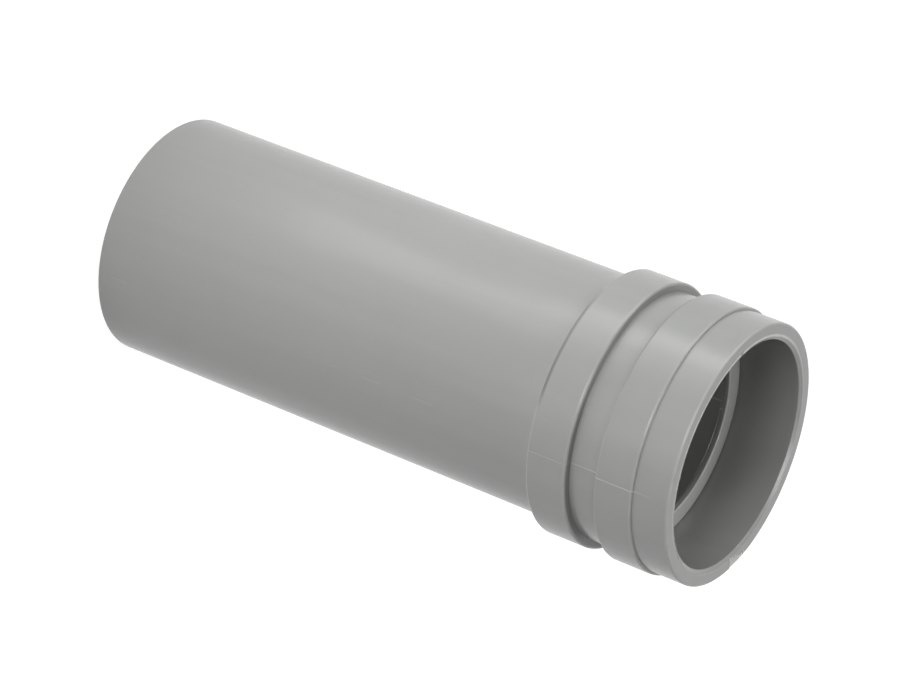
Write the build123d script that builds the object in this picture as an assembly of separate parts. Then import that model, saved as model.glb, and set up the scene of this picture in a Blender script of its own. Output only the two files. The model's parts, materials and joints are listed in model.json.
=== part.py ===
from build123d import *
import os

# Straight toilet pan connector, moulded in one piece: a plain soil tube with a banded socket collar.
# It stands on the plain spigot end. The axis is Z, and the origin is the centre of that end.

# Spigot tube
overall_length = 300.0
tube_diameter = 110.0
tube_wall = 3.2
spigot_outer_edge = 1.8
spigot_inner_break = 0.5

# Socket for the pan's outlet
outlet_diameter = 102.0
outlet_clearance = 0.5
socket_depth = 30.0
lead_in_width = 1.8
lead_in_depth = 1.0

# Stop ring at the foot of the socket
stop_bore = 85.0
stop_thickness = 3.0
stop_edge = 0.8

# Collar, from the rim down: the barrel at the rim, the upper band, the groove and the lower band
barrel_wall = 7.7
barrel_length = 16.8
band_rise = 1.2
upper_band_length = 18.2
groove_length = 14.2
groove_floor_rise = 1.5
lower_band_length = 19.3
rim_edge = 0.8
band_break = 0.6

# Radii
tube_radius = tube_diameter / 2
tube_bore_radius = tube_radius - tube_wall
socket_radius = outlet_diameter / 2 + outlet_clearance
mouth_radius = socket_radius + lead_in_width
stop_radius = stop_bore / 2
barrel_radius = socket_radius + barrel_wall
band_radius = barrel_radius + band_rise
groove_radius = tube_radius + groove_floor_rise

# Heights above the spigot end
rim_height = overall_length
lead_in_height = rim_height - lead_in_depth
stop_top = rim_height - socket_depth
stop_bottom = stop_top - stop_thickness
upper_band_top = rim_height - barrel_length
upper_band_foot = upper_band_top - upper_band_length
lower_band_top = upper_band_foot - groove_length
lower_band_foot = lower_band_top - lower_band_length


def outer_corners():
    """Corners of the outside, from the spigot end up to the rim."""
    return [
        (tube_radius, 0),
        (tube_radius, lower_band_foot),
        (band_radius, lower_band_foot),
        (band_radius, lower_band_top),
        (groove_radius, lower_band_top),
        (groove_radius, upper_band_foot),
        (band_radius, upper_band_foot),
        (band_radius, upper_band_top),
        (barrel_radius, upper_band_top),
        (barrel_radius, rim_height),
    ]


def inner_corners():
    """Corners of the inside, from the rim down to the spigot end."""
    return [
        (mouth_radius, rim_height),
        (socket_radius, lead_in_height),
        (socket_radius, stop_top),
        (stop_radius, stop_top),
        (stop_radius, stop_bottom),
        (tube_bore_radius, stop_bottom),
        (tube_bore_radius, 0),
    ]


# Corners that the mould leaves round, each with its radius
rounded_corners = [
    ((tube_radius, 0), spigot_outer_edge),
    ((barrel_radius, rim_height), rim_edge),
    ((stop_radius, stop_top), stop_edge),
]

# Corners with a small flat break, each with its width
broken_corners = [
    ((tube_bore_radius, 0), spigot_inner_break),
    ((stop_radius, stop_bottom), band_break),
    ((band_radius, lower_band_foot), band_break),
    ((band_radius, lower_band_top), band_break),
    ((band_radius, upper_band_foot), band_break),
    ((band_radius, upper_band_top), min(band_break, band_rise / 2)),
]


def half_section():
    """Wall of the connector on one side of the axis, with its corners rounded and broken."""
    section = make_face(Polyline(*outer_corners(), *inner_corners(), close=True))
    for place, radius in rounded_corners:
        corner = section.vertices().sort_by_distance(Vector(*place))[0]
        section = fillet(corner, radius)
    for place, width in broken_corners:
        corner = section.vertices().sort_by_distance(Vector(*place))[0]
        section = chamfer(corner, width)
    return section


def connector_body():
    """The whole moulding, turned about its axis."""
    section = Plane.XZ * half_section()
    body = revolve(section, Axis.Z)
    body.label = "connector_body"
    return body


os.makedirs("parts", exist_ok=True)
export_step(connector_body(), "parts/connector_body.step")
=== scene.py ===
"""Looks of a straight toilet pan connector: one satin grey moulding in plain white studio light."""

import json
import logging
import math
from dataclasses import dataclass
from enum import Enum
from functools import cached_property, reduce
from typing import Any, Optional, Union

import bmesh
import bpy
from mathutils import Matrix, Vector


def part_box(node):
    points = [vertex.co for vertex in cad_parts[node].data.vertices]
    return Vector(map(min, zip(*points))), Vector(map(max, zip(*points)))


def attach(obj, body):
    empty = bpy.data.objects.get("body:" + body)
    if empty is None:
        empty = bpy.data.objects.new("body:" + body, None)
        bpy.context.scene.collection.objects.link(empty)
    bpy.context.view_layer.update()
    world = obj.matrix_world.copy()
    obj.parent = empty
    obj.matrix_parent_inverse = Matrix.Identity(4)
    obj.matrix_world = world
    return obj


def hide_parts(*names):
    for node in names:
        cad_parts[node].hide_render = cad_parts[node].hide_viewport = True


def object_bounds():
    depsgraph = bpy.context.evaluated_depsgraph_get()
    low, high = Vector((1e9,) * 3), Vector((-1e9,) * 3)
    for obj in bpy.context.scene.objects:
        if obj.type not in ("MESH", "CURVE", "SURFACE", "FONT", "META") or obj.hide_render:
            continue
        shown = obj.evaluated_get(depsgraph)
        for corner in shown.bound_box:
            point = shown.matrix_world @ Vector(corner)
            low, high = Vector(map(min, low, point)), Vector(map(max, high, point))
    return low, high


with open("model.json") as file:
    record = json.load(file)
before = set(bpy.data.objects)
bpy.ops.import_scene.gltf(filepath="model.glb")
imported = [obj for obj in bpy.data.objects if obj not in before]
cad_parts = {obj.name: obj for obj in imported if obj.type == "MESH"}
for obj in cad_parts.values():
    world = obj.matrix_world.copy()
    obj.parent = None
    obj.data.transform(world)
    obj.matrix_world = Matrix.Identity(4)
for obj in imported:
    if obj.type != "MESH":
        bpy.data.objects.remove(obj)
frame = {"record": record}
CAD_LOW, CAD_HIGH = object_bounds()

LOG = logging.getLogger("pan_connector")
MM = 0.001
NODE = "connector_body"
BODY = "root"

Span = tuple[float, float]
Triple = tuple[float, float, float]
Shaded = Union[bpy.types.Material, bpy.types.World]

WHITE: Triple = (1.0, 1.0, 1.0)
BLACK: Triple = (0.0, 0.0, 0.0)


def mount(name: str) -> dict[str, Any]:
    """Find one of the part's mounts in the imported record.

    Args:
        name: The mount's name.

    Returns:
        The mount's entry.
    """
    return next(entry for entry in frame["record"]["mounts"] if entry["name"] == name)


class Side(Enum):
    """Where a stretch of the wall's outline lies."""

    OUTSIDE = "outside"
    RIM = "rim"
    INSIDE = "inside"


class Pattern(Enum):
    """Patterns of noise: cells in a metre along X, Y and Z, finer layers, and slice of the noise."""

    CLOUDS = ((14.0, 14.0, 9.0), 2.0, 1.0)
    FLOW = ((150.0, 150.0, 6.0), 3.0, 2.0)
    SPECKS = ((1500.0, 1500.0, 1500.0), 1.0, 3.0)
    RAGGED = ((700.0, 700.0, 700.0), 2.0, 4.0)
    GRAIN = ((2400.0, 2400.0, 2400.0), 2.0, 5.0)
    SWELL = ((90.0, 90.0, 26.0), 2.0, 6.0)
    PATCHES = ((180.0, 180.0, 180.0), 2.0, 8.0)
    PALE_CRUMBS = ((900.0, 900.0, 900.0), 1.0, 9.0)
    DARK_CRUMBS = ((800.0, 800.0, 800.0), 1.0, 10.0)
    TORN = ((1300.0, 1300.0, 1300.0), 2.0, 11.0)


@dataclass(frozen=True)
class Value:
    """A number that changes over the surface, written with Python's operators.

    Attributes:
        shader: The node tree's builder.
        socket: The output that carries the number.
    """

    shader: "Shader"
    socket: bpy.types.NodeSocket

    def _math(self, operation: str, first: Any, second: Any) -> "Value":
        """Add a Math node.

        Args:
            operation: The Math node's operation.
            first: The first number or value.
            second: The second number or value.

        Returns:
            The node's result.
        """
        made = self.shader.node("ShaderNodeMath", {"operation": operation}, {0: first, 1: second})
        return Value(self.shader, made.outputs[0])

    def __add__(self, other: Any) -> "Value":
        """Add to this value."""
        return self._math("ADD", self, other)

    def __radd__(self, other: Any) -> "Value":
        """Add this value to a number."""
        return self._math("ADD", other, self)

    def __sub__(self, other: Any) -> "Value":
        """Take from this value."""
        return self._math("SUBTRACT", self, other)

    def __rsub__(self, other: Any) -> "Value":
        """Take this value from a number."""
        return self._math("SUBTRACT", other, self)

    def __mul__(self, other: Any) -> "Value":
        """Multiply this value."""
        return self._math("MULTIPLY", self, other)

    def __rmul__(self, other: Any) -> "Value":
        """Multiply a number by this value."""
        return self._math("MULTIPLY", other, self)

    def __truediv__(self, other: Any) -> "Value":
        """Divide this value."""
        return self._math("DIVIDE", self, other)

    def __pow__(self, other: Any) -> "Value":
        """Raise this value to a power."""
        return self._math("POWER", self, other)

    def maximum(self, other: Any) -> "Value":
        """Return the larger of this value and another."""
        return self._math("MAXIMUM", self, other)

    def distance_to(self, place: float) -> "Value":
        """Return how far this value is from a number, never negative."""
        gap = self - place
        return gap.maximum(0 - gap)

    def between(self, low: float, high: float) -> "Value":
        """Go from one number to another as this mask goes from 0 to 1."""
        return low + (high - low) * self

    def fade(self, start: float, end: float) -> "Value":
        """Turn this value into a smooth mask.

        Args:
            start: The value at which the mask is 0.
            end: The value at which the mask is 1.

        Returns:
            The mask, from 0 to 1.
        """
        settings = {"interpolation_type": "SMOOTHSTEP", "clamp": True}
        sockets = {"Value": self, "From Min": start, "From Max": end}
        made = self.shader.node("ShaderNodeMapRange", settings, sockets)
        return Value(self.shader, made.outputs["Result"])


class Shader:
    """Builds the node tree of one material, or of the world."""

    def __init__(self, owner: Shaded) -> None:
        """Start with an empty tree.

        Args:
            owner: The material or world that gets the tree.
        """
        owner.use_nodes = True
        self.owner = owner
        self.tree = owner.node_tree
        self.tree.nodes.clear()

    def node(
        self,
        kind: str,
        settings: Optional[dict[str, Any]] = None,
        sockets: Optional[dict[Any, Any]] = None,
    ) -> bpy.types.Node:
        """Add a node, set it up and feed it.

        Args:
            kind: The node's type.
            settings: The node's own settings, set first.
            sockets: A number, colour, value or socket for each named or numbered input.

        Returns:
            The new node.
        """
        made = self.tree.nodes.new(kind)
        for key, setting in (settings or {}).items():
            setattr(made, key, setting)
        for key, feed in (sockets or {}).items():
            self.feed(made.inputs[key], feed)
        return made

    def feed(self, target: bpy.types.NodeSocket, feed: Any) -> None:
        """Link a value or socket to an input, or set a constant on it.

        Args:
            target: The input.
            feed: What it gets.
        """
        if isinstance(feed, Value):
            feed = feed.socket
        if isinstance(feed, bpy.types.NodeSocket):
            self.tree.links.new(feed, target)
        elif isinstance(feed, tuple) and len(feed) == 3 and target.type == "RGBA":
            target.default_value = (*feed, 1.0)
        else:
            target.default_value = feed

    def noise(self, pattern: Pattern) -> Value:
        """Add noise over the object's own space.

        Args:
            pattern: The pattern.

        Returns:
            Noise around 0.5.
        """
        cells, detail, seed = pattern.value
        place = self.node("ShaderNodeTexCoord").outputs["Object"]
        stretched = self.node("ShaderNodeVectorMath", {"operation": "MULTIPLY"}, {0: place, 1: cells})
        made = self.node(
            "ShaderNodeTexNoise",
            {"noise_dimensions": "4D"},
            {"Vector": stretched.outputs[0], "W": seed, "Scale": 1.0, "Detail": detail},
        )
        return Value(self, made.outputs[0])

    def place(self) -> tuple[Value, Value, Value]:
        """Return the surface's X, Y and Z in the object's own space, in metres."""
        place = self.node("ShaderNodeTexCoord").outputs["Object"]
        split = self.node("ShaderNodeSeparateXYZ", None, {0: place})
        return tuple(Value(self, output) for output in split.outputs)

    def tint(self, base: Any, colour: Any, mask: Any) -> bpy.types.NodeSocket:
        """Blend a colour into another.

        Args:
            base: The colour where the mask is 0.
            colour: The colour where the mask is 1.
            mask: How much of the second colour shows.

        Returns:
            The blended colour's socket.
        """
        made = self.node("ShaderNodeMix", {"data_type": "RGBA"}, {"Factor": mask, 6: base, 7: colour})
        return made.outputs[2]

    def seen(self) -> Value:
        """Mark what the camera sees, straight, mirrored or through something clear."""
        rays = self.node("ShaderNodeLightPath").outputs
        straight = Value(self, rays["Is Camera Ray"])
        return straight.maximum(rays["Is Glossy Ray"]).maximum(rays["Is Transmission Ray"])

    def finish(self, surface: bpy.types.NodeSocket) -> Shaded:
        """Close the tree.

        Args:
            surface: The shader that the surface or the world gets.

        Returns:
            The finished material or world.
        """
        kind = "World" if isinstance(self.owner, bpy.types.World) else "Material"
        self.node("ShaderNodeOutput" + kind, None, {"Surface": surface})
        return self.owner


def shade(colour: Triple, factor: float) -> Triple:
    """Lighten or darken a colour.

    Args:
        colour: The colour, linear.
        factor: What each channel is multiplied by.

    Returns:
        The new colour.
    """
    red, green, blue = colour
    return red * factor, green * factor, blue * factor


def strongest(*masks: Value) -> Value:
    """Return the largest of several masks at each place."""
    return reduce(Value.maximum, masks)


def turned(start: float, end: float) -> float:
    """Return the turn from one direction to another, between -180 and 180 degrees."""
    return (end - start + 180.0) % 360.0 - 180.0


def round_axis(turn: float, radius: float, height: float) -> Vector:
    """Return the point in a direction in degrees, at a distance from the axis and a height."""
    angle = math.radians(turn)
    return Vector((radius * math.cos(angle), radius * math.sin(angle), height))


def placed(name: str, data: Any) -> bpy.types.Object:
    """Add an object to the scene.

    Args:
        name: The object's name.
        data: Its mesh, light or camera.

    Returns:
        The object.
    """
    made = bpy.data.objects.new(name, data)
    bpy.context.scene.collection.objects.link(made)
    return made


def meshed(name: str, mesh: bmesh.types.BMesh) -> bpy.types.Object:
    """Turn a finished bmesh into an object of the scene, and free it.

    Args:
        name: The name of the object and of its mesh.
        mesh: The bmesh.

    Returns:
        The object.
    """
    data = bpy.data.meshes.new(name)
    mesh.to_mesh(data)
    mesh.free()
    return placed(name, data)


@dataclass(frozen=True)
class Corner:
    """A corner of the wall's outline, in the half plane through the axis.

    Attributes:
        radius: Distance from the axis.
        height: Height above the spigot end.
        rounding: Radius of the rounded edge, 0 for a sharp one.
        side: Side of the wall that follows this corner.
    """

    radius: float
    height: float
    rounding: float
    side: Side

    @property
    def spot(self) -> Vector:
        """The corner as a point of the half plane."""
        return Vector((self.radius, self.height))


@dataclass(frozen=True)
class OutlinePoint:
    """A point of the finished outline.

    Attributes:
        spot: Radius and height.
        normal: Unit direction out of the plastic.
        side: Side of the wall on which it lies.
    """

    spot: Vector
    normal: Vector
    side: Side


@dataclass(frozen=True)
class Blemish:
    """A small local swelling or nick.

    Attributes:
        angle: Direction from the axis, in degrees.
        radius: Distance from the axis.
        height: Height above the spigot end.
        reach: Distance over which it fades.
        lift: How far it stands out, negative for a nick.
    """

    angle: float
    radius: float
    height: float
    reach: float
    lift: float

    @property
    def spot(self) -> Vector:
        """The blemish's middle in space."""
        return round_axis(self.angle, self.radius, self.height)


@dataclass(frozen=True)
class GateTrim:
    """The knife cut that took the moulding's gate off the rim.

    It starts as a step across the rim's whole face and runs out at the rim's outer edge.

    Attributes:
        angle: Direction of its middle, in degrees.
        length: Length along the rim.
        slope: How much it lowers the face for each step outwards.
        inner_radius: Radius of its inner side where it starts.
        outer_radius: Radius of the rim, where it runs out.
        step: Share of the length over which its first step goes down.
    """

    angle: float
    length: float
    slope: float
    inner_radius: float
    outer_radius: float
    step: float = 0.05

    def drop(self, angle: float, radius: float) -> float:
        """Work out how far the cut lowers a point of the rim.

        Args:
            angle: The point's direction, in degrees.
            radius: The point's distance from the axis.

        Returns:
            The drop, 0 outside the cut.
        """
        turn = math.radians(turned(self.angle, angle))
        along = turn * self.outer_radius / self.length + 0.5
        if not 0.0 < along < 1.0:
            return 0.0
        inner = self.inner_radius + (self.outer_radius - self.inner_radius) * along
        return self.slope * max(0.0, radius - inner) * min(1.0, along / self.step)


@dataclass(frozen=True)
class Levels:
    """The moulding's heights and radii that its outline and marks keep to, in metres.

    Attributes:
        rim: Height of the rim.
        barrel_foot: Height of the step under the plain barrel.
        groove_head: Height of the groove's upper side.
        groove_foot: Height of the groove's lower side.
        collar_foot: Height at which the collar ends on the tube.
        stop_face: Height of the stop ring's face.
        stop_foot: Height of the stop ring's underside.
        band_radius: Outside of the raised bands.
        barrel_radius: Outside of the barrel at the rim.
        groove_radius: Floor of the groove.
        mouth_radius: Inner edge of the rim.
        socket_radius: Wall of the socket.
        stop_radius: Clear radius inside the stop ring.
        tube_radius: Outside of the plain tube.
    """

    rim: float
    barrel_foot: float
    groove_head: float
    groove_foot: float
    collar_foot: float
    stop_face: float
    stop_foot: float
    band_radius: float
    barrel_radius: float
    groove_radius: float
    mouth_radius: float
    socket_radius: float
    stop_radius: float
    tube_radius: float


@dataclass(frozen=True)
class Surface:
    """Places on the moulding, as values for its material's masks.

    Attributes:
        shader: The material's builder.
        levels: The moulding's heights and radii.
        across: Distance along X.
        along: Distance along Y.
        height: Height above the spigot end.
        radius: Distance from the axis.
        soft: Distance over which a half and the ends of a stretch fade.
        line_core: Share of a line's half width that is marked in full.
        ring_core: Share of a ring's reach that is marked in full.
    """

    shader: Shader
    levels: Levels
    across: Value
    along: Value
    height: Value
    radius: Value
    soft: float = 1.0 * MM
    line_core: float = 0.4
    ring_core: float = 0.3

    @classmethod
    def of(cls, shader: Shader, levels: Levels) -> "Surface":
        """Read the places in the object's own space.

        Args:
            shader: The material's builder.
            levels: The moulding's heights and radii.

        Returns:
            The places.
        """
        across, along, height = shader.place()
        return cls(shader, levels, across, along, height, (across * across + along * along) ** 0.5)

    def aside(self, angle: float) -> Value:
        """Measure sideways from the half plane at an angle, in degrees."""
        turn = math.radians(angle)
        return self.along * math.cos(turn) - self.across * math.sin(turn)

    def ahead(self, angle: float) -> Value:
        """Measure outwards along the direction at an angle, in degrees."""
        turn = math.radians(angle)
        return self.across * math.cos(turn) + self.along * math.sin(turn)

    def half(self, angle: float) -> Value:
        """Mark the half of the moulding on the side of an angle, in degrees."""
        return self.ahead(angle).fade(0.0, self.soft)

    def skin(self, start: float, end: float) -> Value:
        """Mark the wall from one depth under the tube's outside to another."""
        tube = self.levels.tube_radius
        return self.radius.fade(tube - start, tube - end)

    def line(self, angle: float, half_width: float) -> Value:
        """Mark the line along the axis in one direction.

        Args:
            angle: The direction, in degrees.
            half_width: Half the line's width.

        Returns:
            A mask, 1 on the line.
        """
        near = self.aside(angle).distance_to(0.0).fade(half_width, half_width * self.line_core)
        return near * self.half(angle)

    def stretch(self, start: float, end: float) -> Value:
        """Mark a stretch of the height, soft at both ends.

        Args:
            start: Height at which it starts.
            end: Height at which it ends.

        Returns:
            A mask, 1 inside the stretch.
        """
        soft = 2 * self.soft
        return self.height.fade(start, start + soft) * self.height.fade(end, end - soft)

    def ring(
        self,
        radius: float,
        height: float,
        reach: float,
        inward: float = 0.0,
        down: float = 0.0,
        share: float = 1.0,
    ) -> Value:
        """Mark an edge that runs round the axis.

        Args:
            radius: The edge's radius.
            height: The edge's height.
            reach: Distance over which the mark fades.
            inward: How far the mark's middle lies inwards of the edge.
            down: How far the mark's middle lies below the edge.
            share: How strong the mark is.

        Returns:
            A mask, the share on the edge.
        """
        core = reach * self.ring_core
        near = self.radius.distance_to(radius - inward).fade(reach, core)
        return near * self.height.distance_to(height - down).fade(reach, core) * share


@dataclass(frozen=True)
class KnifeCut:
    """Looks of the cut at the gate: a paler face, with crumbs along its inner side.

    Attributes:
        glow: How much lighter the face is than the plastic.
        crumb_glow: How much lighter the pale crumbs are than the face.
        crumb_shade: How much darker the dark crumbs are than the plastic.
        roughness: How much rougher the face is than the plastic.
        raggedness: Width of the strip in which the inner side wanders.
        depth: Depths under the rim between which the marks set in.
        start: Shares of the cut's length between which the marks set in.
        end: Shares of the length between which they run out, from the end.
        face_edge: Distances past the inner side between which the face sets in.
        border: Distances from the inner side between which the crumbs set in.
        pale_crumbs: Noise values between which a pale crumb sets in.
        dark_crumbs: Noise values between which a dark crumb sets in.
        step_middle: Where the first step is, as a share of the length.
        step_edge: Distances from that place between which the step's line sets in.
        step_share: How dark the step's line is, against 1 for a dark crumb.
    """

    glow: float = 1.6
    crumb_glow: float = 1.4
    crumb_shade: float = 0.5
    roughness: float = 0.2
    raggedness: float = 1.6 * MM
    depth: Span = (2.0 * MM, 1.2 * MM)
    start: Span = (0.0, 0.03)
    end: Span = (1.0, 0.93)
    face_edge: Span = (-0.1 * MM, 0.25 * MM)
    border: Span = (1.3 * MM, 0.6 * MM)
    pale_crumbs: Span = (0.55, 0.6)
    dark_crumbs: Span = (0.57, 0.62)
    step_middle: float = 0.012
    step_edge: Span = (0.03, 0.012)
    step_share: float = 0.7

    def marks(self, place: Surface, trim: GateTrim) -> tuple[Value, Value, Value]:
        """Mark the cut's face and its crumbs.

        Args:
            place: Places on the moulding.
            trim: The cut's shape.

        Returns:
            The masks of the face, of the pale crumbs and of the dark ones.
        """
        noise, rim = place.shader.noise, place.levels.rim
        along = place.aside(trim.angle) / trim.length + 0.5
        ragged = noise(Pattern.RAGGED) * self.raggedness
        inner = along * (trim.outer_radius - trim.inner_radius) + trim.inner_radius
        into = place.radius - inner + ragged - self.raggedness / 2
        on_rim = place.radius.fade(trim.inner_radius - place.soft, trim.inner_radius)
        span = along.fade(*self.start) * along.fade(*self.end) * place.half(trim.angle)
        span = span * place.height.fade(rim - self.depth[0], rim - self.depth[1])
        face = span * into.fade(*self.face_edge)
        border = span * into.distance_to(0.0).fade(*self.border)
        pale = border * noise(Pattern.PALE_CRUMBS).fade(*self.pale_crumbs)
        dark = border * noise(Pattern.DARK_CRUMBS).fade(*self.dark_crumbs)
        step = span * on_rim * along.distance_to(self.step_middle).fade(*self.step_edge)
        return face, pale, dark.maximum(step * self.step_share)


@dataclass(frozen=True)
class GreyMoulding:
    """Satin grey plastic as it leaves the mould, with painted light, painted shade and painted highlights
    laid into its colour.

    Attributes:
        colour: The plastic's colour, linear.
        roughness: Its mean roughness.
        roughness_drift: How much the roughness drifts over the surface.
        gloss_level: The strength of its reflections, 0.5 for a plain dielectric.
        refraction: Its index of refraction.
        cloud: How much the colour drifts over the surface.
        cloud_shares: Shares of the clouds, the flow and the specks in that drift.
        cloud_span: Noise values between which the colour goes from dark to light.
        grain_height: Height of the moulded grain.
        swell_height: Height of the wall's slight waves.
        torn_height: Height of the torn grain on the cut and its crumbs.
        bump_strength: How much these heights turn the light.
        seams: Directions of the mould's parting lines, in degrees.
        seam_half_width: Half the parting line's width.
        seam_end: How far above the barrel's foot the line starts to fade and below the rim it is gone.
        band_share: How clear it is on the lower band, against 1 above it.
        tube_stretches: Start and end of each stretch in which the line shows on the tube.
        tube_share: How clear it is there.
        outer_skin: Depths in the tube's wall between which marks on the outside set in.
        core_seam: Direction of the line inside the bore, in degrees.
        core_width: How much wider than a parting line it is.
        core_end: Depths under the stop ring at which it ends and down to which it is clear.
        bore_skin: Depths in the tube's wall between which marks in the bore set in.
        seam_painted_highlight: How much lighter a parting line and the core's line are painted: a painted
            highlight.
        edge_painted_highlight: How much lighter the painted highlights on the edges are.
        edge_highlight_angle: Direction in which the painted highlights on the mouth's flash and the rim's
            outer edge are strongest, in degrees.
        edge_highlight_reach: Distances in that direction between which they grow strong.
        flash_shares: How strong the painted highlight on the flash is away from that side and on it.
        rim_shares: How strong the painted highlight on the rim's outer edge is on the same two sides.
        stop_share: How strong the painted highlight on the stop ring's inner edge is.
        top_share: How strong the painted highlight on the bands' upper edges is.
        foot_share: How strong the painted highlight on the bands' lower edges is.
        steady_share: How strong an edge's painted highlight is between its patches.
        patch_span: Noise values between which a patch sets in.
        bright_side: Places along X between which the painted highlight on the bands' lower edges sets in.
        stop_face_painted_light: How much lighter the stop ring's face is painted: painted light on the face.
        stop_reach: Distances from that face between which its painted light sets in.
        stop_border: Width of the face's border to the wall, in which the painted light grows.
        socket_wall_painted_shade: How much darker the painted shade makes the socket's wall towards its foot.
        wall_reach: Distances from the wall between which its painted shade sets in.
        wall_ends: How far below the rim the wall darkens and above the stop ring it is darkest.
        crease_painted_shade: How much darker the painted shade makes the creases.
        heel_painted_shade: How much darker the painted shade makes the lower edges.
        lower_heel: Places along X between which the painted shade on the lower band's edge sets in.
        lower_heel_end: Places along X between which it runs out, from its end.
        upper_heel: Places along X between which the painted shade on the upper band's edge sets in.
        cut: Looks of the cut at the gate.
    """

    colour: Triple = (0.352, 0.357, 0.349)
    roughness: float = 0.25
    roughness_drift: float = 0.035
    gloss_level: float = 0.4
    refraction: float = 1.5
    cloud: float = 0.03
    cloud_shares: Triple = (0.5, 0.35, 0.15)
    cloud_span: Span = (0.35, 0.65)
    grain_height: float = 0.012 * MM
    swell_height: float = 0.05 * MM
    torn_height: float = 0.12 * MM
    bump_strength: float = 0.7
    seams: tuple[float, ...] = (-60.0, 120.0)
    seam_half_width: float = 0.28 * MM
    seam_end: Span = (5.0 * MM, 6.0 * MM)
    band_share: float = 0.4
    tube_stretches: tuple[Span, ...] = (
        (7.0 * MM, 18.0 * MM),
        (127.0 * MM, 132.0 * MM),
        (143.0 * MM, 154.0 * MM),
        (169.0 * MM, 181.0 * MM),
    )
    tube_share: float = 0.4
    outer_skin: Span = (1.2 * MM, 0.8 * MM)
    core_seam: float = 112.0
    core_width: float = 1.5
    core_end: Span = (34.0 * MM, 14.0 * MM)
    bore_skin: Span = (2.2 * MM, 2.8 * MM)
    # painted highlight: the parting lines and the core's line in the bore are painted lighter
    seam_painted_highlight: float = 1.3
    # painted highlight: thin edges and rounded band edges are painted lighter, more on one side
    edge_painted_highlight: float = 1.7
    edge_highlight_angle: float = -125.0
    edge_highlight_reach: Span = (-20.0 * MM, 40.0 * MM)
    flash_shares: Span = (0.15, 1.0)
    rim_shares: Span = (0.09, 0.29)
    stop_share: float = 0.42
    top_share: float = 0.22
    foot_share: float = 0.1
    steady_share: float = 0.6
    patch_span: Span = (0.3, 0.6)
    bright_side: Span = (2.0 * MM, 14.0 * MM)
    # painted light: the stop ring's face is painted lighter, less so next to the socket's wall
    stop_face_painted_light: float = 1.13
    stop_reach: Span = (0.5 * MM, 0.2 * MM)
    stop_border: float = 0.8 * MM
    # painted shade: the socket's wall is painted darker towards the stop ring, deep in the recess
    socket_wall_painted_shade: float = 0.84
    wall_reach: Span = (0.8 * MM, 0.3 * MM)
    wall_ends: Span = (6.0 * MM, 2.0 * MM)
    # painted shade: creases, the groove under the upper band and the mouth's inner edge are painted darker
    crease_painted_shade: float = 0.86
    # painted shade: the stop ring's lower edge and the bands' lower edges on the side of -X are painted
    # darker
    heel_painted_shade: float = 0.58
    lower_heel: Span = (14.0 * MM, 2.0 * MM)
    lower_heel_end: Span = (-47.0 * MM, -31.0 * MM)
    upper_heel: Span = (-4.0 * MM, -16.0 * MM)
    cut: KnifeCut = KnifeCut()

    def seam_highlight_mask(self, place: Surface) -> Value:
        """Mark the parting lines for their painted highlight, clear on the collar and broken on the tube.

        Args:
            place: Places on the moulding.

        Returns:
            A mask, 1 on a clear line.
        """
        levels, height, soft = place.levels, place.height, place.soft
        faint, rest = self.band_share, 1 - self.band_share
        fade_start, fade_end = levels.barrel_foot + self.seam_end[0], levels.rim - self.seam_end[1]
        lines = strongest(*(place.line(seam, self.seam_half_width) for seam in self.seams))
        collar = faint * height.fade(levels.collar_foot, levels.collar_foot + 2 * soft)
        collar = collar + rest * height.fade(levels.groove_foot, levels.groove_foot + soft)
        collar = collar - faint * height.fade(levels.barrel_foot - soft, levels.barrel_foot + soft)
        collar = collar - rest * height.fade(fade_start, fade_end)
        tube = strongest(*(place.stretch(start, end) for start, end in self.tube_stretches))
        return lines * place.skin(*self.outer_skin) * collar.maximum(tube * self.tube_share)

    def core_line_highlight_mask(self, place: Surface) -> Value:
        """Mark the line that the core left in the bore, under the stop ring, for its painted highlight.

        Args:
            place: Places on the moulding.

        Returns:
            A mask, 1 on the line.
        """
        foot = place.levels.stop_foot
        under = place.height.fade(place.levels.stop_face, foot)
        ends = place.height.fade(foot - self.core_end[0], foot - self.core_end[1])
        line = place.line(self.core_seam, self.seam_half_width * self.core_width)
        return line * place.skin(*self.bore_skin) * under * ends

    def edge_highlight_mask(self, place: Surface) -> Value:
        """Mark the painted highlights on the edges of the mouth, the rim, the stop ring and the bands.

        Args:
            place: Places on the moulding.

        Returns:
            A mask, 1 on the brightest painted highlight.
        """
        levels, ring, band = place.levels, place.ring, place.levels.band_radius
        # the painted highlights on the flash and the rim's outer edge grow stronger towards one side
        lit_side = place.ahead(self.edge_highlight_angle).fade(*self.edge_highlight_reach)
        flash = ring(levels.mouth_radius, levels.rim, reach=0.9 * MM, inward=-0.25 * MM)
        outer = ring(levels.barrel_radius, levels.rim, reach=1.0 * MM, inward=0.3 * MM, down=0.3 * MM)
        stop = ring(levels.stop_radius, levels.stop_face, reach=1.0 * MM, inward=-0.1 * MM, down=0.1 * MM)
        tops = strongest(
            ring(band, levels.groove_foot, reach=1.2 * MM, inward=0.35 * MM, down=0.4 * MM),
            ring(band, levels.barrel_foot, reach=1.0 * MM, inward=0.35 * MM, down=0.4 * MM),
        )
        feet = strongest(
            ring(band, levels.collar_foot, reach=0.9 * MM, inward=0.35 * MM, down=-0.35 * MM),
            ring(band, levels.groove_head, reach=0.9 * MM, inward=0.35 * MM, down=-0.35 * MM),
        )
        flash = flash * lit_side.between(*self.flash_shares)
        outer = outer * lit_side.between(*self.rim_shares)
        feet = feet * place.across.fade(*self.bright_side)
        patches = place.shader.noise(Pattern.PATCHES).fade(*self.patch_span)
        edges = strongest(flash, stop * self.stop_share, outer, tops * self.top_share, feet * self.foot_share)
        return edges * patches.between(self.steady_share, 1.0)

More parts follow.
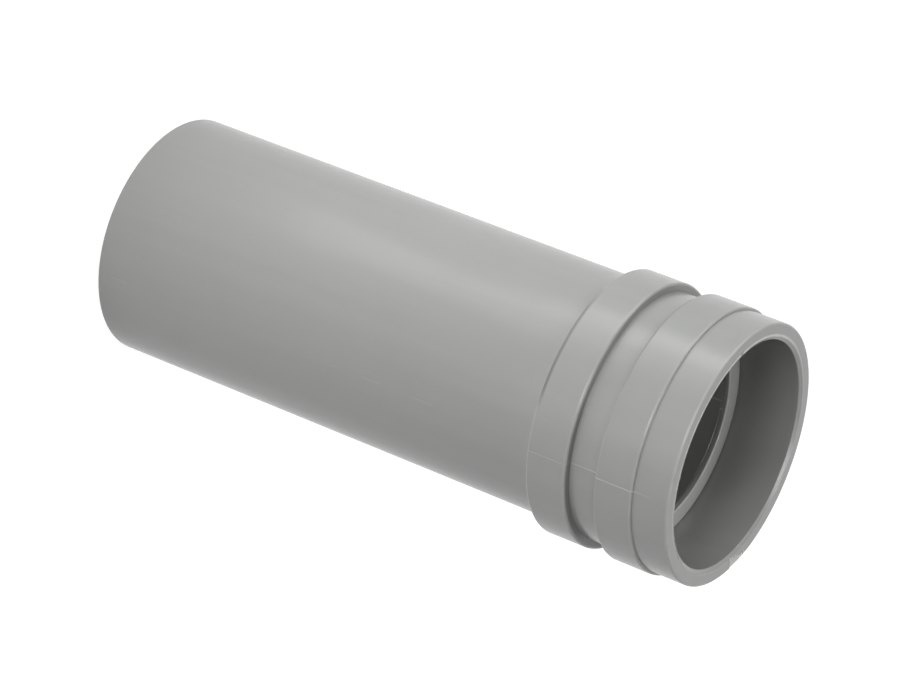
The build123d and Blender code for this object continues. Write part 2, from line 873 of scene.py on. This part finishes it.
    def stop_face_light_mask(self, place: Surface) -> Value:
        """Mark the stop ring's face for its painted light, which fades out towards the socket's wall."""
        wall = place.levels.socket_radius
        level = place.height.distance_to(place.levels.stop_face).fade(*self.stop_reach)
        return level * place.radius.fade(wall, wall - self.stop_border)

    def socket_wall_shade_mask(self, place: Surface) -> Value:
        """Mark the socket's wall for painted shade, more towards its foot, deep in the recess."""
        top, foot = place.levels.rim - self.wall_ends[0], place.levels.stop_face + self.wall_ends[1]
        wall = place.radius.distance_to(place.levels.socket_radius).fade(*self.wall_reach)
        return wall * place.height.fade(top, foot)

    def crease_shade_mask(self, place: Surface) -> Value:
        """Mark the creases at the feet of the steps, the groove's floor under the upper band and the mouth
        just inside its flash, for painted shade.

        Args:
            place: Places on the moulding.

        Returns:
            A mask, 1 where the painted shade is darkest.
        """
        levels, ring = place.levels, place.ring
        return strongest(
            ring(levels.barrel_radius, levels.barrel_foot, reach=1.1 * MM),
            ring(levels.groove_radius, levels.groove_foot, reach=1.0 * MM),
            ring(levels.tube_radius, levels.collar_foot, reach=1.6 * MM),
            ring(levels.socket_radius, levels.stop_face, reach=0.7 * MM),
            ring(levels.groove_radius, levels.groove_head, reach=5.0 * MM, share=0.55),
            ring(levels.mouth_radius, levels.rim, reach=0.5 * MM, inward=0.35 * MM, down=0.2 * MM, share=0.7),
        )

    def heel_shade_mask(self, place: Surface) -> Value:
        """Mark the lower edges of the stop ring and, on the side of -X, of the bands, for painted shade.

        Args:
            place: Places on the moulding.

        Returns:
            A mask, 1 where the painted shade is darkest.
        """
        levels, ring, band = place.levels, place.ring, place.levels.band_radius
        lower = ring(band, levels.collar_foot, reach=1.5 * MM, inward=0.25 * MM, down=-0.6 * MM)
        upper = ring(band, levels.groove_head, reach=0.8 * MM, inward=0.25 * MM, down=-0.3 * MM, share=0.6)
        lip = ring(levels.stop_radius, levels.stop_foot, reach=0.9 * MM, inward=-0.2 * MM, down=-0.2 * MM)
        lower = lower * place.across.fade(*self.lower_heel) * place.across.fade(*self.lower_heel_end)
        return strongest(lower, upper * place.across.fade(*self.upper_heel), lip)

    def material(self, levels: Levels, trim: GateTrim) -> bpy.types.Material:
        """Build the plastic's material.

        Args:
            levels: The moulding's heights and radii.
            trim: The cut at the gate.

        Returns:
            The material.
        """
        shader = Shader(bpy.data.materials.new("satin_grey_moulding"))
        place = Surface.of(shader, levels)
        cloud = shader.noise(Pattern.CLOUDS)
        flow = shader.noise(Pattern.FLOW)
        cloud_share, flow_share, speck_share = self.cloud_shares
        stain = cloud * cloud_share + flow * flow_share + shader.noise(Pattern.SPECKS) * speck_share
        dark_tone, light_tone = shade(self.colour, 1 - self.cloud), shade(self.colour, 1 + self.cloud)
        base = shader.tint(dark_tone, light_tone, stain.fade(*self.cloud_span))
        face, pale, dark = self.cut.marks(place, trim)
        tints = (
            # painted light on the stop ring's face
            (self.stop_face_painted_light, self.stop_face_light_mask(place)),
            # painted shade on the socket's wall
            (self.socket_wall_painted_shade, self.socket_wall_shade_mask(place)),
            # painted shade in the creases
            (self.crease_painted_shade, self.crease_shade_mask(place)),
            # painted shade on the lower edges
            (self.heel_painted_shade, self.heel_shade_mask(place)),
            # painted highlight on the parting lines
            (self.seam_painted_highlight, self.seam_highlight_mask(place).maximum(self.core_line_highlight_mask(place))),
            # painted highlight on the edges
            (self.edge_painted_highlight, self.edge_highlight_mask(place)),
            (self.cut.glow, face),
            (self.cut.glow * self.cut.crumb_glow, pale),
            (self.cut.crumb_shade, dark),
        )
        for factor, mask in tints:
            base = shader.tint(base, shade(self.colour, factor), mask)
        drift = (flow - 0.5) * self.roughness_drift + (cloud - 0.5) * self.roughness_drift
        grain = shader.noise(Pattern.GRAIN) * self.grain_height
        swell = shader.noise(Pattern.SWELL) * self.swell_height
        torn = shader.noise(Pattern.TORN) * (face.maximum(pale) * self.torn_height)
        heights = {"Strength": self.bump_strength, "Distance": 1.0, "Height": grain + swell + torn}
        bump = shader.node("ShaderNodeBump", None, heights)
        surface = shader.node(
            "ShaderNodeBsdfPrincipled",
            None,
            {
                "Base Color": base,
                "Roughness": self.roughness + drift + face * self.cut.roughness,
                "Normal": bump.outputs[0],
                "IOR": self.refraction,
                "Specular IOR Level": self.gloss_level,
            },
        )
        return shader.finish(surface.outputs[0])


@dataclass(frozen=True)
class StudioWhite:
    """A white that the camera sees as pure, with the object's faint shadow on it.

    Attributes:
        glow: Brightness that the camera and reflections see.
        shadow_share: Share of the lit surface that is laid over the glow.
        paint: Colour that the light bounces off.
    """

    glow: float = 0.935
    shadow_share: float = 0.3
    paint: Triple = (0.8, 0.8, 0.8)

    def material(self) -> bpy.types.Material:
        """Build the floor's material."""
        shader = Shader(bpy.data.materials.new("studio_white"))
        lit = shader.node("ShaderNodeBsdfDiffuse", None, {"Color": self.paint}).outputs[0]
        unlit = shader.node("ShaderNodeBsdfDiffuse", None, {"Color": BLACK}).outputs[0]
        soft = shader.node("ShaderNodeMixShader", None, {0: self.shadow_share, 1: unlit, 2: lit}).outputs[0]
        light = shader.node("ShaderNodeEmission", None, {"Color": WHITE, "Strength": self.glow})
        bright = shader.node("ShaderNodeAddShader", None, {0: soft, 1: light.outputs[0]}).outputs[0]
        both = shader.node("ShaderNodeMixShader", None, {0: shader.seen(), 1: lit, 2: bright})
        return shader.finish(both.outputs[0])


# Extra sections of the wall, as shares of a seam's half width, of a flaw's reach and of half the cut's length
SEAM_SHARES = (-2.0, -1.0, -0.5, 0.0, 0.5, 1.0, 2.0)
FLAW_SHARES = (-1.6, -1.1, -0.7, -0.35, 0.0, 0.35, 0.7, 1.1, 1.6)
CUT_SHARES = (*(step / 12.0 for step in range(-13, 14)), -0.96)
# How far an even section has to be from an extra one to be kept, as a share of the even step
CLEAR_SHARE = 0.35


@dataclass
class ConnectorMoulding:
    """The whole connector: plain tube, banded collar, socket and stop ring, turned about the axis.

    Attributes:
        height: Overall length.
        tube_radius: Outside of the plain tube.
        tube_bore: Inside of the plain tube.
        socket_radius: Wall of the socket.
        band_radius: Outside of the raised bands.
        band_rise: How far the bands stand above the barrel at the rim.
        groove_rise: How far the groove's floor stands above the tube.
        barrel_length: Length of the plain barrel at the rim.
        upper_band: Length of the band next to the rim.
        groove: Length of the groove between the bands.
        lower_band: Length of the band next to the tube.
        socket_depth: Depth from the rim to the stop ring.
        lead_in_width: How much wider the mouth is than the socket, on a side.
        lead_in_depth: Depth of the lead-in cone.
        stop_radius: Clear radius inside the stop ring.
        stop_thickness: Thickness of the stop ring.
        flash_height: How far the thin flash stands up round the mouth.
        flash_width: Width of that flash at its foot.
        flash_slope: How much narrower it is at its top.
        stop_groove: Width and depth of the fine groove round the stop ring's face.
        seam_height: How far the parting line stands out on the collar.
        spigot_edge: Rounding of the spigot's outer edge.
        lower_band_edges: Rounding of the lower band's lower and upper edge.
        upper_band_edges: Rounding of the upper band's lower and upper edge.
        rim_edge: Rounding of the rim's outer edge.
        flash_edges: Rounding of the flash's foot, outer and inner edge.
        lead_in_edge: Rounding at the foot of the lead-in cone.
        stop_edge: Rounding of the stop ring's inner edge.
        bore_edge: Rounding of the bore's corners.
        crease: Rounding of the creases and of the fine groove's inner edge.
        fine_crease: Rounding of the barrel's foot and of the fine groove's floor.
        cut_angle: Direction of the middle of the knife cut, in degrees.
        cut_length: Length of the cut along the rim.
        cut_slope: How much the cut lowers the rim for each step outwards.
        cut_depth: Depth under the rim down to which the cut moves the outline.
        flaws: Direction in degrees, reach and lift of each flaw of the mouth's inner edge.
        turns: Number of even steps round the axis.
        rim_step: Longest step of the outline on the rim.
        wall_step: Longest step of the outline on the walls.
        finish: The plastic.
    """

    height: float
    tube_radius: float
    tube_bore: float
    socket_radius: float
    band_radius: float
    band_rise: float = 1.2 * MM
    groove_rise: float = 1.5 * MM
    barrel_length: float = 16.8 * MM
    upper_band: float = 18.2 * MM
    groove: float = 14.2 * MM
    lower_band: float = 19.3 * MM
    socket_depth: float = 30.0 * MM
    lead_in_width: float = 1.8 * MM
    lead_in_depth: float = 1.0 * MM
    stop_radius: float = 42.5 * MM
    stop_thickness: float = 3.0 * MM
    flash_height: float = 0.12 * MM
    flash_width: float = 0.3 * MM
    flash_slope: float = 0.05 * MM
    stop_groove: float = 0.45 * MM
    seam_height: float = 0.22 * MM
    spigot_edge: float = 1.8 * MM
    lower_band_edges: Span = (0.9 * MM, 1.1 * MM)
    upper_band_edges: Span = (0.8 * MM, 0.95 * MM)
    rim_edge: float = 0.8 * MM
    flash_edges: Triple = (0.08 * MM, 0.06 * MM, 0.08 * MM)
    lead_in_edge: float = 0.4 * MM
    stop_edge: float = 0.6 * MM
    bore_edge: float = 0.5 * MM
    crease: float = 0.2 * MM
    fine_crease: float = 0.12 * MM
    cut_angle: float = 45.3
    cut_length: float = 17.0 * MM
    cut_slope: float = 0.07
    cut_depth: float = 1.5 * MM
    flaws: tuple[Triple, ...] = (
        (-137.5, 0.75 * MM, -1.3 * MM),
        (-139.2, 0.6 * MM, 0.2 * MM),
        (-71.0, 0.6 * MM, 0.35 * MM),
    )
    turns: int = 272
    rim_step: float = 0.7 * MM
    wall_step: float = 5.0 * MM
    finish: GreyMoulding = GreyMoulding()

    @cached_property
    def levels(self) -> Levels:
        """The heights and radii that the outline and the marks keep to."""
        barrel_foot = self.height - self.barrel_length
        groove_head = barrel_foot - self.upper_band
        groove_foot = groove_head - self.groove
        stop_face = self.height - self.socket_depth
        return Levels(
            rim=self.height,
            barrel_foot=barrel_foot,
            groove_head=groove_head,
            groove_foot=groove_foot,
            collar_foot=groove_foot - self.lower_band,
            stop_face=stop_face,
            stop_foot=stop_face - self.stop_thickness,
            band_radius=self.band_radius,
            barrel_radius=self.band_radius - self.band_rise,
            groove_radius=self.tube_radius + self.groove_rise,
            mouth_radius=self.socket_radius + self.lead_in_width,
            socket_radius=self.socket_radius,
            stop_radius=self.stop_radius,
            tube_radius=self.tube_radius,
        )

    @cached_property
    def trim(self) -> GateTrim:
        """The cut at the gate, on the rim; it starts at the flash's foot."""
        inner_radius = self.levels.mouth_radius + self.flash_width
        outer_radius = self.levels.barrel_radius
        return GateTrim(self.cut_angle, self.cut_length, self.cut_slope, inner_radius, outer_radius)

    @cached_property
    def blemishes(self) -> list[Blemish]:
        """The small flaws of the mouth's inner edge."""
        mouth = self.levels.mouth_radius
        return [Blemish(angle, mouth, self.height, reach, lift) for angle, reach, lift in self.flaws]

    def corners(self) -> list[Corner]:
        """List the wall's corners, up the outside and back down the inside.

        Returns:
            The corners, in order round the section.
        """
        levels, crease, fine = self.levels, self.crease, self.fine_crease
        face = levels.rim - self.flash_height
        flash_foot = levels.mouth_radius + self.flash_width
        fine_radius = self.socket_radius - self.stop_groove
        fine_floor = levels.stop_face - self.stop_groove
        lower_foot_edge, lower_top_edge = self.lower_band_edges
        upper_foot_edge, upper_top_edge = self.upper_band_edges
        flash_foot_edge, flash_outer_edge, flash_inner_edge = self.flash_edges
        out, rim, bore = Side.OUTSIDE, Side.RIM, Side.INSIDE
        return [
            Corner(self.tube_radius, 0.0, self.spigot_edge, out),
            Corner(self.tube_radius, levels.collar_foot, crease, out),
            Corner(self.band_radius, levels.collar_foot, lower_foot_edge, out),
            Corner(self.band_radius, levels.groove_foot, lower_top_edge, out),
            Corner(levels.groove_radius, levels.groove_foot, crease, out),
            Corner(levels.groove_radius, levels.groove_head, crease, out),
            Corner(self.band_radius, levels.groove_head, upper_foot_edge, out),
            Corner(self.band_radius, levels.barrel_foot, upper_top_edge, out),
            Corner(levels.barrel_radius, levels.barrel_foot, fine, out),
            Corner(levels.barrel_radius, face, self.rim_edge, rim),
            Corner(flash_foot, face, flash_foot_edge, rim),
            Corner(flash_foot - self.flash_slope, levels.rim, flash_outer_edge, rim),
            Corner(levels.mouth_radius, levels.rim, flash_inner_edge, bore),
            Corner(self.socket_radius, levels.rim - self.lead_in_depth, self.lead_in_edge, bore),
            Corner(self.socket_radius, fine_floor, fine, bore),
            Corner(fine_radius, fine_floor, fine, bore),
            Corner(fine_radius, levels.stop_face, crease, bore),
            Corner(self.stop_radius, levels.stop_face, self.stop_edge, bore),
            Corner(self.stop_radius, levels.stop_foot, self.bore_edge, bore),
            Corner(self.tube_bore, levels.stop_foot, self.bore_edge, bore),
            Corner(self.tube_bore, 0.0, self.bore_edge, bore),
        ]

    def outline(self) -> list[OutlinePoint]:
        """Round the corners and divide the runs between them.

        Returns:
            The closed outline's points, in order.
        """
        corners = self.corners()
        count = len(corners)
        arcs = [
            rounded(corners[index - 1].spot, corner.spot, corners[(index + 1) % count].spot, corner.rounding)
            for index, corner in enumerate(corners)
        ]
        spots: list[tuple[Vector, Side]] = []
        for index, (corner, arc) in enumerate(zip(corners, arcs)):
            half = len(arc) // 2
            longest = self.rim_step if corner.side is Side.RIM else self.wall_step
            run = divided(arc[-1], arcs[(index + 1) % count][0], longest)
            spots += [(spot, corners[index - 1].side) for spot in arc[:half]]
            spots += [(spot, corner.side) for spot in arc[half:] + run]
        points = []
        for index, (spot, side) in enumerate(spots):
            tangent = spots[(index + 1) % len(spots)][0] - spots[index - 1][0]
            tangent.normalize()
            points.append(OutlinePoint(spot, Vector((tangent.y, -tangent.x)), side))
        return points

    def angles(self) -> list[float]:
        """List the directions of the wall's sections, closer together at seams and flaws.

        Returns:
            Directions in degrees, in order.
        """
        step = 360.0 / self.turns
        close: list[float] = []
        seam = math.degrees(self.finish.seam_half_width / self.band_radius)
        for middle in self.finish.seams:
            close += [middle + seam * share for share in SEAM_SHARES]
        for flaw in self.blemishes:
            reach = math.degrees(flaw.reach / flaw.radius)
            close += [flaw.angle + reach * share for share in FLAW_SHARES]
        reach = math.degrees(self.trim.length / 2 / self.trim.outer_radius)
        close += [self.trim.angle + reach * share for share in CUT_SHARES]
        even = [step * index for index in range(self.turns)]
        kept = [turn for turn in even if all(abs(turned(mark, turn)) > step * CLEAR_SHARE for mark in close)]
        return sorted(turn % 360.0 for turn in kept + close)

    def seam_lift(self, turn: float, point: OutlinePoint) -> float:
        """Work out how far the parting line lifts a point.

        Args:
            turn: The point's direction, in degrees.
            point: The point of the outline.

        Returns:
            The lift along the point's normal.
        """
        if point.side is not Side.OUTSIDE:
            return 0.0
        nearest = min(abs(turned(seam, turn)) for seam in self.finish.seams)
        across = math.radians(nearest) * self.band_radius / self.finish.seam_half_width
        if across >= 1.0:
            return 0.0
        height = point.spot.y
        lift = 0.0
        for (start, low), (end, high) in zip(self.seam_stations, self.seam_stations[1:]):
            if start <= height <= end:
                lift = low + (high - low) * (height - start) / (end - start)
        return self.seam_height * lift * (1 - across)

    @cached_property
    def seam_stations(self) -> list[Span]:
        """How strong the parting line is: pairs of a height and a share of its full height."""
        levels = self.levels
        return [
            (6.0 * MM, 0.0),
            (8.0 * MM, 0.5),
            (15.0 * MM, 0.5),
            (18.0 * MM, 0.1),
            (levels.collar_foot - 2.0 * MM, 0.1),
            (levels.collar_foot, 0.35),
            (levels.groove_foot, 0.5),
            (levels.groove_foot + 1.0 * MM, 1.0),
            (levels.barrel_foot - 1.0 * MM, 1.0),
            (levels.barrel_foot, 0.7),
            (levels.rim - 9.0 * MM, 0.45),
            (levels.rim - 5.0 * MM, 0.0),
        ]

    def vertex(self, turn: float, point: OutlinePoint) -> Vector:
        """Place one vertex of the moulding.

        Args:
            turn: Its direction, in degrees.
            point: Its point of the outline.

        Returns:
            Its place in the part's frame.
        """
        radius, height = point.spot + point.normal * self.seam_lift(turn, point)
        if height > self.height - self.cut_depth:
            height -= self.trim.drop(turn, radius)
        place = round_axis(turn, radius, height)
        outward = round_axis(turn, point.normal.x, point.normal.y)
        for flaw in self.blemishes:
            gap = (place - flaw.spot).length / flaw.reach
            place = place + outward * (flaw.lift * math.exp(-gap * gap))
        place.z = min(place.z, self.height)
        return place

    def build(self) -> bpy.types.Object:
        """Turn the outline about the axis and dress it.

        Returns:
            The moulding, in place of the part's plain solid.
        """
        outline = self.outline()
        turns = self.angles()
        mesh = bmesh.new()
        rings = [[mesh.verts.new(self.vertex(turn, point)) for point in outline] for turn in turns]
        for ring, following in zip(rings, rings[1:] + rings[:1]):
            for index in range(len(outline)):
                after = (index + 1) % len(outline)
                face = mesh.faces.new((ring[index], following[index], following[after], ring[after]))
                face.smooth = True
        bmesh.ops.recalc_face_normals(mesh, faces=mesh.faces)
        piece = meshed("pan_connector_moulding", mesh)
        piece.data.materials.append(self.finish.material(self.levels, self.trim))
        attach(piece, BODY)
        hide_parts(NODE)
        return piece


def rounded(before: Vector, corner: Vector, after: Vector, radius: float, steps: int = 6) -> list[Vector]:
    """Round a corner of an outline with an arc.

    Args:
        before: The corner before.
        corner: The corner.
        after: The corner after.
        radius: The arc's radius.
        steps: How many chords the arc gets.

    Returns:
        The arc's points, from the first tangent point to the last.
    """
    back = (before - corner).normalized()
    ahead = (after - corner).normalized()
    half_turn = math.acos(max(-1.0, min(1.0, back.dot(ahead)))) / 2
    reach = radius / math.tan(half_turn)
    centre = corner + (back + ahead).normalized() * (radius / math.sin(half_turn))
    first = corner + back * reach - centre
    last = corner + ahead * reach - centre
    sweep = math.pi - 2 * half_turn
    points = []
    for step in range(steps + 1):
        share = step / steps
        weight_first = math.sin((1 - share) * sweep) / math.sin(sweep)
        weight_last = math.sin(share * sweep) / math.sin(sweep)
        points.append(centre + first * weight_first + last * weight_last)
    return points


def divided(start: Vector, end: Vector, longest: float, support: float = 0.25 * MM) -> list[Vector]:
    """Divide a straight run, with a point close to each end that keeps the shading flat.

    Args:
        start: The run's start.
        end: The run's end.
        longest: The longest step.
        support: Distance of the first and last point from the ends.

    Returns:
        The points between start and end.
    """
    run = end - start
    length = run.length
    if length < 3 * support:
        return []
    inner = length - 2 * support
    steps = max(1, math.ceil(inner / longest))
    places = [support + inner * step / steps for step in range(steps + 1)]
    return [start + run * (place / length) for place in places]


class Stand(Enum):
    """How a soft light is set up."""

    HUNG = "hung"
    UPRIGHT = "upright"
    LYING = "lying"


@dataclass(frozen=True)
class LightKind:
    """One kind of rectangular soft light.

    Attributes:
        stand: Hung in the air, standing upright on the floor or lying on it.
        distance: Distance of its middle from the axis, or from the object's middle for a hung light.
        width: Its width.
        length: Its other side: its height, or its length outwards when it lies.
        clearance: How far it is off the floor, for a light that stands or lies.
    """

    stand: Stand
    distance: float
    width: float
    length: float
    clearance: float = 0.0


SOFT_BOX = LightKind(Stand.HUNG, distance=1.8, width=0.5, length=0.9)
BACK_WALL = LightKind(Stand.UPRIGHT, distance=1.8, width=2.0, length=0.5, clearance=5.0 * MM)
PANEL = LightKind(Stand.UPRIGHT, distance=0.5, width=0.14, length=0.32, clearance=5.0 * MM)
STRIP = LightKind(Stand.LYING, distance=0.475, width=0.09, length=0.55, clearance=4.0 * MM)
BORE_PATCH = LightKind(Stand.LYING, distance=0.0, width=0.07, length=0.07, clearance=4.0 * MM)


@dataclass(frozen=True)
class SoftLight:
    """A soft light that faces the object, or shines upwards where it lies on the floor.

    Attributes:
        name: The light's name.
        kind: Its kind.
        azimuth: Its direction round the object; 0 is the camera's side, positive towards +X.
        power: Its power in watts.
        elevation: Its direction above the floor, for a hung light.
        mirrored: Whether the object mirrors it.
    """

    name: str
    kind: LightKind
    azimuth: float
    power: float
    elevation: float = 0.0
    mirrored: bool = True

    def pose(self, middle: Vector) -> Matrix:
        """Work out where it is and how it is turned.

        Args:
            middle: The object's middle, which a hung light faces.

        Returns:
            The light's matrix; it shines along its own -Z.
        """
        kind = self.kind
        turn, rise = math.radians(self.azimuth), math.radians(self.elevation)
        level = Vector((math.sin(turn), -math.cos(turn), 0.0))
        if kind.stand is Stand.HUNG:
            outward = level * math.cos(rise) + Vector((0.0, 0.0, math.sin(rise)))
            spot = middle + outward * kind.distance
            facing = outward.to_track_quat("Z", "Y").to_matrix()
        elif kind.stand is Stand.UPRIGHT:
            spot = level * kind.distance + Vector((0.0, 0.0, kind.length / 2 + kind.clearance))
            facing = level.to_track_quat("Z", "Y").to_matrix()
        else:
            spot = level * kind.distance + Vector((0.0, 0.0, kind.clearance))
            sideways = Vector((-level.y, level.x, 0.0))
            facing = Matrix((-sideways, level, Vector((0.0, 0.0, -1.0)))).transposed()
        return Matrix.Translation(spot) @ facing.to_4x4()

    def build(self, middle: Vector) -> bpy.types.Object:
        """Set up the light.

        Args:
            middle: The object's middle.

        Returns:
            The light.
        """
        data = bpy.data.lights.new(self.name, "AREA")
        data.shape = "RECTANGLE"
        data.size = self.kind.width
        data.size_y = self.kind.length
        data.energy = self.power
        light = placed(self.name, data)
        light.matrix_world = self.pose(middle)
        light.visible_camera = False
        light.visible_glossy = self.mirrored
        return light


@dataclass(frozen=True)
class Studio:
    """The white floor and surroundings, and the soft lights.

    Attributes:
        floor_size: Side of the floor.
        lights: The soft lights.
    """

    floor_size: float = 12.0
    lights: tuple[SoftLight, ...] = (
        SoftLight("overhead", SOFT_BOX, azimuth=0.0, power=11.4, elevation=89.9),
        SoftLight("front", SOFT_BOX, azimuth=0.0, power=15.8, elevation=8.0),
        SoftLight("high_front", SOFT_BOX, azimuth=0.0, power=1.2, elevation=50.0),
        SoftLight("high_side", SOFT_BOX, azimuth=-90.0, power=9.2, elevation=38.0),
        SoftLight("far_side", SOFT_BOX, azimuth=90.0, power=0.8, elevation=8.0),
        SoftLight("behind", BACK_WALL, azimuth=180.0, power=14.0, mirrored=False),
        SoftLight("key_panel", PANEL, azimuth=-64.0, power=0.5),
        SoftLight("front_panel", PANEL, azimuth=16.0, power=0.1),
        SoftLight("key_strip", STRIP, azimuth=-54.0, power=0.24),
        SoftLight("key_strip_front", STRIP, azimuth=-42.0, power=0.2),
        SoftLight("bore_light", BORE_PATCH, azimuth=0.0, power=0.15),
    )

    def build_floor(self) -> bpy.types.Object:
        """Lay the white floor.

        Returns:
            The floor.
        """
        mesh = bmesh.new()
        bmesh.ops.create_grid(mesh, x_segments=1, y_segments=1, size=self.floor_size / 2)
        floor = meshed("white_floor", mesh)
        floor.data.materials.append(StudioWhite().material())
        return floor

    def build_world(self) -> bpy.types.World:
        """Make the surroundings white to the camera, without lighting the object.

        Returns:
            The scene's world.
        """
        shader = Shader(bpy.data.worlds.new("studio"))
        white = shader.node("ShaderNodeBackground", None, {"Color": WHITE, "Strength": shader.seen()})
        bpy.context.scene.world = shader.finish(white.outputs[0])
        return bpy.context.scene.world

    def build(self, middle: Vector) -> None:
        """Set up the floor, world and lights.

        Args:
            middle: The object's middle, which the hung lights face.
        """
        self.build_floor()
        self.build_world()
        for light in self.lights:
            light.build(middle)


@dataclass(frozen=True)
class StudioCamera:
    """The camera, tipped over so that the standing connector lies across the picture.

    Attributes:
        aim: The point at the middle of the picture.
        elevation: How far above the floor the camera looks from, in degrees.
        roll: How far the camera is turned about its line of sight, in degrees.
        distance: Its distance from the aim.
        lens: Focal length, in millimetres.
        sensor: Width of the sensor, in millimetres.
        farthest: Distance up to which it sees.
    """

    aim: Triple = (-0.0021, 0.0, 0.152)
    elevation: float = 27.1
    roll: float = 111.3
    distance: float = 1.753
    lens: float = 160.0
    sensor: float = 36.0
    farthest: float = 50.0

    def build(self) -> bpy.types.Object:
        """Place the camera and make it the scene's.

        Returns:
            The camera.
        """
        data = bpy.data.cameras.new("studio_camera")
        data.sensor_width = self.sensor
        data.lens = self.lens
        data.clip_end = self.farthest
        camera = placed("studio_camera", data)
        rise = math.radians(self.elevation)
        back = Vector((0.0, -math.cos(rise), math.sin(rise)))
        camera.location = Vector(self.aim) + back * self.distance
        upright = (-back).to_track_quat("-Z", "Y").to_matrix().to_4x4()
        tipped = upright @ Matrix.Rotation(math.radians(self.roll), 4, "Z")
        camera.rotation_euler = tipped.to_euler()
        bpy.context.scene.camera = camera
        return camera


def make_moulding() -> ConnectorMoulding:
    """Read the moulding's main sizes off the frame.

    Returns:
        The moulding, not yet built.
    """
    low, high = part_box(NODE)
    return ConnectorMoulding(
        height=high.z,
        tube_radius=mount("soil_spigot")["dims"]["r_mm"] * MM,
        tube_bore=mount("tube_bore")["dims"]["r_mm"] * MM,
        socket_radius=mount("outlet_socket")["dims"]["r_mm"] * MM,
        band_radius=min(high.x, -low.x, high.y, -low.y),
    )


def main() -> None:
    """Build the connector, the studio and the camera."""
    logging.basicConfig(level=logging.INFO, format="%(name)s: %(message)s")
    moulding = make_moulding()
    piece = moulding.build()
    LOG.info("built %s with %d faces", piece.name, len(piece.data.polygons))
    Studio().build((CAD_LOW + CAD_HIGH) / 2)
    LOG.info("built the studio")
    camera = StudioCamera().build()
    LOG.info("placed %s", camera.name)
    bpy.context.scene.view_settings.view_transform = "Standard"


if __name__ == "__main__":
    main()
